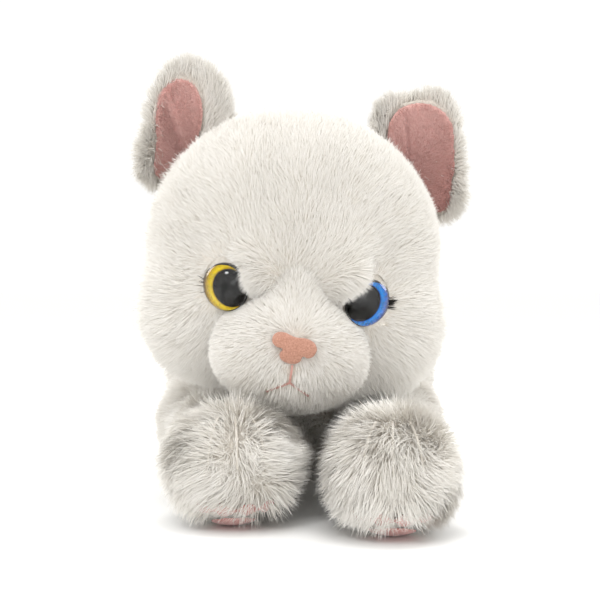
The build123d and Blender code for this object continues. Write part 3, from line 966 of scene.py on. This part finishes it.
def tail_coat(places, normals):
    x, y = CURL_MIDDLE
    around = np.stack([places[:, 1] - y, x - places[:, 0], 0 * places[:, 0]], 1)
    brushed = np.where(places[:, 1:2] < CURL_FROM, np.array([0, 1.0, 0]), unit(around)) + (0, 0, -0.3)
    brushed = brushed + 0.3 * swirl(places, 6 * MM, 52)
    return TAIL_LENGTH, TAIL_LIFT, brushed


grow_pile("tail_pile", tail_skin, "tail", tail_coat, 30000, 51, width=0.28 * MM)

# %% [markdown]
# ## Ears
# An ear is two layers, pile fabric behind and pink velour in front, sewn along the rim and left
# unstuffed, so it cups. Each is a flat plate inside its seam line, remeshed and bent round the cup. The
# velour gets the soft fold that a cupped ear has, and long pile stands all round the rim.

# %% Ear measures
EAR_MIDDLE = 41.25
EAR_CUP_FORWARD = 12.0
BACK_RADIUS = 20.8
LINING_RADIUS = 19.0
BACK_THICK = 1.8
LINING_THICK = 0.9
BACK_VOXEL = 0.9 * MM
LINING_VOXEL = 0.6 * MM
# Seam lines from the inner root over the tip to the outer root, in the head's millimetres
EAR_RIMS = {
    "left": [(29, 40), (27.5, 56), (36, 60.3), (46, 63.4), (51.5, 61.5), (56, 51), (57.5, 40), (55, 20)],
    "right": [(30, 40), (32, 53), (36, 59.5), (41.5, 63), (48, 63.6), (54, 57), (57.5, 40), (55, 20)],
}
LINING_RIMS = {
    "left": [(53, 20), (56.3, 33), (55.6, 45.7), (53.5, 55), (47, 60.5), (38.4, 60), (31.5, 54), (31, 44),
             (43, 30)],
    "right": [(51, 20), (55, 35), (55.8, 45), (54, 53), (48, 58.5), (42, 55.5), (39, 48), (39, 40), (43, 29)],
}
FOLDS = {"left": ((36.5, 55), (40.5, 35)), "right": ((52, 49), (42.5, 32))}
FOLD_RISE = 2.4
print("ear seams", {side: len(rim) for side, rim in EAR_RIMS.items()})

# %% Ear finishes
EAR_DEPTH = 118 * MM   # painted shade: the velour is coloured darker down in the cup than at the tip
EAR_TOP = 156 * MM


def painted_cup_shade(material):
    """Paints shade into a finish: its colour deepens from the ear's tip down into its cup."""
    tree = material.node_tree
    shader = tree.nodes["Principled BSDF"]
    colour = shader.inputs["Base Color"].links[0].from_socket
    parts = tree.nodes.new("ShaderNodeSeparateXYZ")
    tree.links.new(object_place(tree), parts.inputs["Vector"])
    height = tree.nodes.new("ShaderNodeMapRange")
    height.inputs["From Min"].default_value = EAR_DEPTH
    height.inputs["From Max"].default_value = EAR_TOP
    tree.links.new(parts.outputs["Z"], height.inputs["Value"])
    shade = ramp(tree, height.outputs["Result"], [(0.0, (0.66, 0.58, 0.57)), (1.0, (1, 1, 1))])
    coloured(tree, shader, multiplied(tree, colour, shade))


pink_velour = fabric_finish("pink_velour", srgb(190, 128, 122), srgb(212, 156, 150), 1.0 * MM, sheen=0.4)
ear_velour = fabric_finish("ear_velour", srgb(212, 160, 153), srgb(234, 188, 181), 1.0 * MM, sheen=0.4)
velour_pile = pile_finish("velour_pile", srgb(204, 150, 143), srgb(228, 180, 173), srgb(242, 204, 198))
# The lining and its pile both get painted shade, darker down in the cup; the pile's roots carry painted shade
# too
for finish in (ear_velour, velour_pile):
    painted_cup_shade(finish)
print("finishes", pink_velour.name, ear_velour.name, velour_pile.name)


# %% Shaping a layer
def rim_plate(name, rim, thick):
    """A flat upright plate inside a smooth closed seam line."""
    curve = bpy.data.curves.new(name, "CURVE")
    curve.dimensions = "2D"
    curve.fill_mode = "BOTH"
    curve.extrude = thick * MM / 2
    spline = curve.splines.new("BEZIER")
    spline.bezier_points.add(len(rim) - 1)
    spline.use_cyclic_u = True
    for point, (x, z) in zip(spline.bezier_points, rim):
        point.co = (x * MM, z * MM, 0)
        point.handle_left_type = point.handle_right_type = "AUTO"
    drawn = new_object(f"{name}_line", curve)
    bpy.context.view_layer.update()
    plate = new_object(name, evaluated(drawn))
    bpy.data.objects.remove(drawn)
    plate.data.transform(Matrix.Rotation(math.pi / 2, 4, "X"))
    return plate


def cupped(plate, side, radius, rise=None):
    """Bends the plate round the ear's upright cup and sets it on the head."""
    local = places_of(plate.data) / MM
    across = local[:, 0] - EAR_MIDDLE
    local[:, 1] += np.sqrt(radius ** 2 - across ** 2) - EAR_CUP_FORWARD
    if rise is not None:
        local[:, 1] -= rise(local)
    local[:, 0] *= signed(side)
    put_places(plate.data, from_head(local))
    if side == "right":
        plate.data.flip_normals()


def fold_rise(side):
    start, end = (np.array(p) for p in FOLDS[side])
    run = (end - start) / np.linalg.norm(end - start)

    def rise(local):
        off = local[:, [0, 2]] - start
        along = off @ run / np.linalg.norm(end - start)
        aside = off @ np.array([run[1], -run[0]])
        near_fold = step_between(-0.25, 0.25, along) * (1 - 0.4 * step_between(0.9, 1.3, along))
        inner = step_between(-0.9, 0.9, aside) * np.exp(-(aside / 6.5) ** 2)
        hollow = step_between(-0.9, 0.9, -aside) * np.exp(-(aside / 6.0) ** 2)
        return FOLD_RISE * near_fold * (inner - 0.45 * hollow)

    return rise


# %% Ear coats
EAR_PILE = 7.5 * MM
VELOUR_PILE = 2.0 * MM
LINING_GAPS = (1.2 * MM, 0.9 * MM)  # for a strand's root and its middle


def ear_coat(side):
    def coat(places, normals):
        local = in_head(places)
        middle = np.array([signed(side) * 45, 8, 36])
        brushed = unit((local - middle) * (1, 0.3, 1)) + (0, 0, 0.35)
        brushed = brushed @ head_turned.T + 0.25 * swirl(places, 8 * MM, 61)
        return EAR_PILE, 0.45, brushed

    return coat


def behind_lining(places, side):
    """True for places on the front of the ear's back layer that the lining covers."""
    local = in_head(places)
    x, z = signed(side) * local[:, 0], local[:, 2]
    crossings = np.zeros(len(places), int)
    rim = LINING_RIMS[side]
    for (x0, z0), (x1, z1) in zip(rim, rim[1:] + rim[:1]):
        if z0 == z1:
            continue
        crosses = ((z0 > z) != (z1 > z)) & (x < x0 + (x1 - x0) * (z - z0) / (z1 - z0))
        crossings += crosses
    cup = np.sqrt(np.maximum(BACK_RADIUS ** 2 - (x - EAR_MIDDLE) ** 2, 0)) - EAR_CUP_FORWARD
    return (crossings % 2 == 1) & (local[:, 1] < cup)


def on_lining(side, lining):
    """The back layer's strands that start under the lining or would poke through it."""
    to_lining = near_mesh(lining.data)

    def bare(points):
        touching = (to_lining(points[:, 0]) < LINING_GAPS[0]) | (to_lining(points[:, 1]) < LINING_GAPS[1])
        return touching | behind_lining(points[:, 0], side)

    return bare


def velour_coat(places, normals):
    brushed = swirl(places, 9 * MM, 62) + (0, 0, -0.8)
    return VELOUR_PILE, 0.8, brushed


def facing_front(places, normals):
    return 0.001 + (-normals[:, 1]).clip(0, 1)


for side in SIDES:
    back = rim_plate(f"{side}_ear_skin", EAR_RIMS[side], BACK_THICK)
    remeshed(back, BACK_VOXEL)
    smoothed(back, 2)
    cupped(back, side, BACK_RADIUS)
    lining = rim_plate(f"{side}_ear_velour", LINING_RIMS[side], LINING_THICK)
    remeshed(lining, LINING_VOXEL)
    cupped(lining, side, LINING_RADIUS, fold_rise(side))
    smoothed(lining, 2)
    back.data.shade_smooth()
    lining.data.shade_smooth()
    sewn(back, white_backing, f"{side}_ear", [f"{side}_ear_back"])
    sewn(lining, ear_velour, f"{side}_ear", [f"{side}_ear_lining"])
    grow_pile(f"{side}_ear_pile", back, f"{side}_ear", ear_coat(side), 22000, 61, lock=4 * MM,
              width=0.24 * MM, bare=on_lining(side, lining))
    grow_pile(f"{side}_ear_velour_pile", lining, f"{side}_ear", velour_coat, 12000, 62, facing_front,
              lock=2 * MM, gather=0.3, width=0.2 * MM, finish=velour_pile)

# %% [markdown]
# ## Eyes
# Safety eyes are moulded: a black plate with a stem, a coloured ring, a black pupil and a clear dome
# over them. Their shapes are exact in the frame, so they stay and get their finishes.


# %% Eye finishes
def dress(node, material):
    nodes[node].data.materials.clear()
    nodes[node].data.materials.append(material)


PUPIL_RADIUS = 6.5
PUPIL_INWARD = 2.4  # the print is set towards the nose
PUPIL_UP = 0.2
EYE_RADIUS = 8.2


def eye_print(name, eye, pale, deep, rim):
    """The print behind the dome: a black pupil set towards the nose, in a ring that deepens outwards."""
    outward = unit(eye)
    level = unit(np.cross((0, 0, 1), outward))
    upward = np.cross(outward, level)
    middle = eye - np.sign(eye[0]) * level * PUPIL_INWARD + upward * PUPIL_UP
    material, tree, shader = new_material(name, pale, 0.25)
    off = tree.nodes.new("ShaderNodeVectorMath")
    off.operation = "DISTANCE"
    off.inputs[1].default_value = from_head(middle)
    tree.links.new(object_place(tree), off.inputs[0])
    far = tree.nodes.new("ShaderNodeMapRange")
    far.inputs["From Max"].default_value = 2 * EYE_RADIUS * MM
    tree.links.new(off.outputs["Value"], far.inputs["Value"])
    edge = PUPIL_RADIUS / (2 * EYE_RADIUS)
    rings = [(0.0, srgb(9, 8, 8)), (edge, srgb(14, 12, 12)), (edge + 0.012, deep), (edge + 0.05, pale),
             (edge + 0.14, deep), (edge + 0.19, rim)]
    shade = ramp(tree, far.outputs["Result"], rings)
    speck = ramp(tree, noise(tree, 0.9 * MM), [(0.3, (0.82, 0.82, 0.82)), (0.7, (1, 1, 1))])
    coloured(tree, shader, multiplied(tree, shade, speck))
    shader.inputs["Specular IOR Level"].default_value = 0.05
    return material


def plastic_finish(name, dark, light, roughness, grain=1.5 * MM):
    material, tree, shader = new_material(name, light, roughness)
    coloured(tree, shader, ramp(tree, noise(tree, grain), [(0.35, dark), (0.65, light)]))
    return material


black_plastic = plastic_finish("black_plastic", srgb(10, 9, 9), srgb(22, 20, 20), 0.35)
washer_plastic = plastic_finish("washer_plastic", srgb(200, 200, 196), srgb(226, 226, 222), 0.45)
YELLOWS = srgb(250, 222, 30), srgb(214, 172, 8), srgb(110, 82, 8)  # pale, deep and rim
BLUES = srgb(50, 165, 255), srgb(20, 118, 236), srgb(8, 46, 120)
yellow_print = eye_print("yellow_print", EYE_PLACES[0], *YELLOWS)
blue_print = eye_print("blue_print", EYE_PLACES[1], *BLUES)

# %% Clear domes
DOME_LOOK = {  # the print is moulded onto the dome's back, with no air behind it, so it bends light little
    "Transmission Weight": 1.0, "IOR": 1.03, "Coat Weight": 1.0, "Coat IOR": 1.36, "Coat Roughness": 0.03,
}
POLISH = [(0.3, (0.015, 0.015, 0.015)), (0.7, (0.05, 0.05, 0.05))]

clear_dome, dome_tree, dome = new_material("clear_dome", (1, 1, 1), 0.03)
for name, value in DOME_LOOK.items():
    dome.inputs[name].default_value = value
dome_tree.links.new(ramp(dome_tree, noise(dome_tree, 5 * MM, 1.0), POLISH), dome.inputs["Roughness"])

for side, iris_print in (("left", blue_print), ("right", yellow_print)):
    dress(f"{side}_eye_iris", iris_print)
    dress(f"{side}_eye_pupil", iris_print)
    dress(f"{side}_eye_stem", black_plastic)
    dress(f"{side}_eye_washer", washer_plastic)
    dress(f"{side}_eye_lens", clear_dome)
print("eyes", yellow_print.name, blue_print.name)

# %% [markdown]
# ## Nose, mouth and toes
# The nose is a pad of satin stitch, the mouth and toes are single threads pulled into the pile. The nose
# is cut along the seam line of the frame's patch, laid on the muzzle and puffed up in the middle. Threads
# are a fine wave in the finish, because as geometry they would be too many.


# %% Thread finishes
THREAD_PITCH = 0.4 * MM
THREAD_DEPTH = 0.08 * MM


def thread_finish(name, dark, light):
    material, tree, shader = new_material(name, light, 0.7, 0.3, 0.3)
    wave = tree.nodes.new("ShaderNodeTexWave")
    wave.wave_type = "BANDS"
    wave.bands_direction = "X"
    wave.inputs["Scale"].default_value = 1 / THREAD_PITCH / 3.2
    wave.inputs["Distortion"].default_value = 1.2
    wave.inputs["Detail Scale"].default_value = 2.0
    tree.links.new(object_place(tree), wave.inputs["Vector"])
    # Painted shade: where the wave's bump is low, in the grooves between the thread's turns, the colour is
    # darker
    coloured(tree, shader, ramp(tree, wave.outputs["Fac"], [(0.1, dark), (0.8, light)]))
    bump(tree, shader, wave.outputs["Fac"], THREAD_DEPTH)
    return material


nose_felt = fabric_finish("nose_felt", srgb(168, 120, 101), srgb(198, 150, 131), 0.5 * MM, depth=0.25 * MM)
pink_thread = thread_finish("pink_thread", srgb(196, 140, 130), srgb(214, 166, 156))
white_thread = thread_finish("white_thread", srgb(200, 193, 182), srgb(226, 220, 210))
dress("mouth_stitches", pink_thread)
dress("closing_stitches", white_thread)
for side in SIDES:
    for paw in ("forepaw", "hindpaw"):
        dress(f"{side}_{paw}_toe_stitches", white_thread)
print("threads", pink_thread.name, white_thread.name)

# %% Stitched nose
# Seam line of the nose in the head's millimetres, from the left lobe round by the top
NOSE_RIM = [(-7.5, -31.6), (-6.6, -29.3), (-4.5, -28.6), (0.0, -29.8), (4.5, -30.1), (7.0, -32.0),
            (6.9, -34.6), (4.6, -36.3), (2.9, -35.7), (2.5, -37.3), (0.2, -38.6), (-2.3, -38.3),
            (-4.3, -36.9), (-4.5, -35.2), (-3.6, -34.3), (-6.0, -33.5)]
NOSE_THICK = 1.8
MUZZLE_RADIUS = 18.1
MUZZLE_MIDDLE = (-45.5, -33.0)  # Y and Z of the muzzle's middle line
NOSE_PUFF = 1.0
NOSE_HALVES = (8.0, 5.6)  # half the width and the height of the puff
NOSE_VOXEL = 0.4 * MM


def on_muzzle(plate):
    """Lays a flat plate on the muzzle and puffs it up."""
    local = places_of(plate.data) / MM
    middle = local.mean(0)
    across = (local[:, 0] - middle[0]) / NOSE_HALVES[0]
    up = (local[:, 2] - middle[2]) / NOSE_HALVES[1]
    crown = (1 - across ** 2 - up ** 2).clip(0, 1)
    forward, height = MUZZLE_MIDDLE
    skin = forward - np.sqrt(MUZZLE_RADIUS ** 2 - (local[:, 2] - height) ** 2)
    front = local[:, 1] < 0
    local[:, 1] += skin - NOSE_THICK / 2 - NOSE_PUFF * np.sqrt(crown) * front
    put_places(plate.data, from_head(local))


nose = rim_plate("nose", NOSE_RIM, NOSE_THICK)
remeshed(nose, NOSE_VOXEL)
smoothed(nose, 2)
on_muzzle(nose)
smoothed(nose, 2)
nose.data.shade_smooth()
sewn(nose, nose_felt, "head", ["nose_patch"])

# %% [markdown]
# ## Lashes
# A few black threads stand out from behind each dome's outer edge. They are ribbons like the pile's, but
# each is placed, because so few of them show one by one.

# %% Lashes
LASHES = {"right": (9, 2.6, 0.30), "left": (38, 4.0, 0.16)}  # hairs, reach and fan of each eye
LASH_WIDTH = 0.22 * MM
LASH_ROOT = 8.0   # from the eye's middle
# Like the pile's, the lashes' roots are coloured darker as painted shade
lash_black = pile_finish("lash_black", srgb(10, 9, 9), srgb(18, 16, 16), srgb(40, 36, 34))

for side, eye in zip(("right", "left"), EYE_PLACES):
    rng = np.random.default_rng(71)
    hair_count, longest, fan = LASHES[side]
    outward = unit(eye)
    out = unit(np.cross((0, 0, 1), outward)) * np.sign(eye[0])
    up = np.cross(outward, out) * np.sign(eye[0])
    turn = rng.normal(0.12, fan, (hair_count, 1))
    ray = np.cos(turn) * out + np.sin(turn) * up
    roots = eye + ray * LASH_ROOT + outward * 0.3
    reach = longest * rng.uniform(0.45, 1.0, (hair_count, 1))
    steps = [roots + ray * reach * k / STEPS + outward * 0.28 * k + up * 0.12 * k * k
             for k in range(STEPS + 1)]
    hairs = from_head(np.stack(steps, 1).reshape(-1, 3)).reshape(hair_count, STEPS + 1, 3)
    facing = np.repeat(outward[None] @ head_turned.T, hair_count, 0)
    shades = rng.uniform(0, 1, hair_count)
    lash = new_object(f"{side}_lash", ribbon_mesh(f"{side}_lash", hairs, facing, shades, LASH_WIDTH, rng))
    lash.data.materials.append(lash_black)
    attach(lash, "head")
    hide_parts(f"{side}_eye_lash")
    print(lash.name, "hairs", hair_count)

# %% [markdown]
# ## Pads
# The pads are small discs of pink velour, padded and sewn to the sole. Each is the frame's own disc,
# which the stuffing only rounds.

# %% Sewn pads
PAD_VOXEL = 0.8 * MM
PAD_SWELL = 0.4 * MM

for side in SIDES:
    for paw, leg in (("forepaw", "foreleg"), ("hindpaw", "hindleg")):
        for kind in ("palm_pad", "toe_pads"):
            pad = merged_copy(f"{side}_{paw}_{kind}_velour", f"{side}_{paw}_{kind}")
            remeshed(pad, PAD_VOXEL)
            smoothed(pad, 3)
            stuffed(pad, PAD_SWELL)
            pad.data.shade_smooth()
            sewn(pad, pink_velour, f"{side}_{leg}", [f"{side}_{paw}_{kind}"])

# %% [markdown]
# ## Inside the body
# A cloth bag of plastic pellets keeps the body low. It isn't seen, so plain finishes do.

# %% Inside the body
bag_cloth = fabric_finish("bag_cloth", srgb(196, 190, 178), srgb(222, 217, 206), 0.7 * MM)
pellet_plastic = plastic_finish("pellet_plastic", srgb(206, 204, 198), srgb(236, 235, 231), 0.4, 2.5 * MM)
dress("pellet_bag", bag_cloth)
dress("pellet_fill", pellet_plastic)
print("inside", bag_cloth.name, pellet_plastic.name)
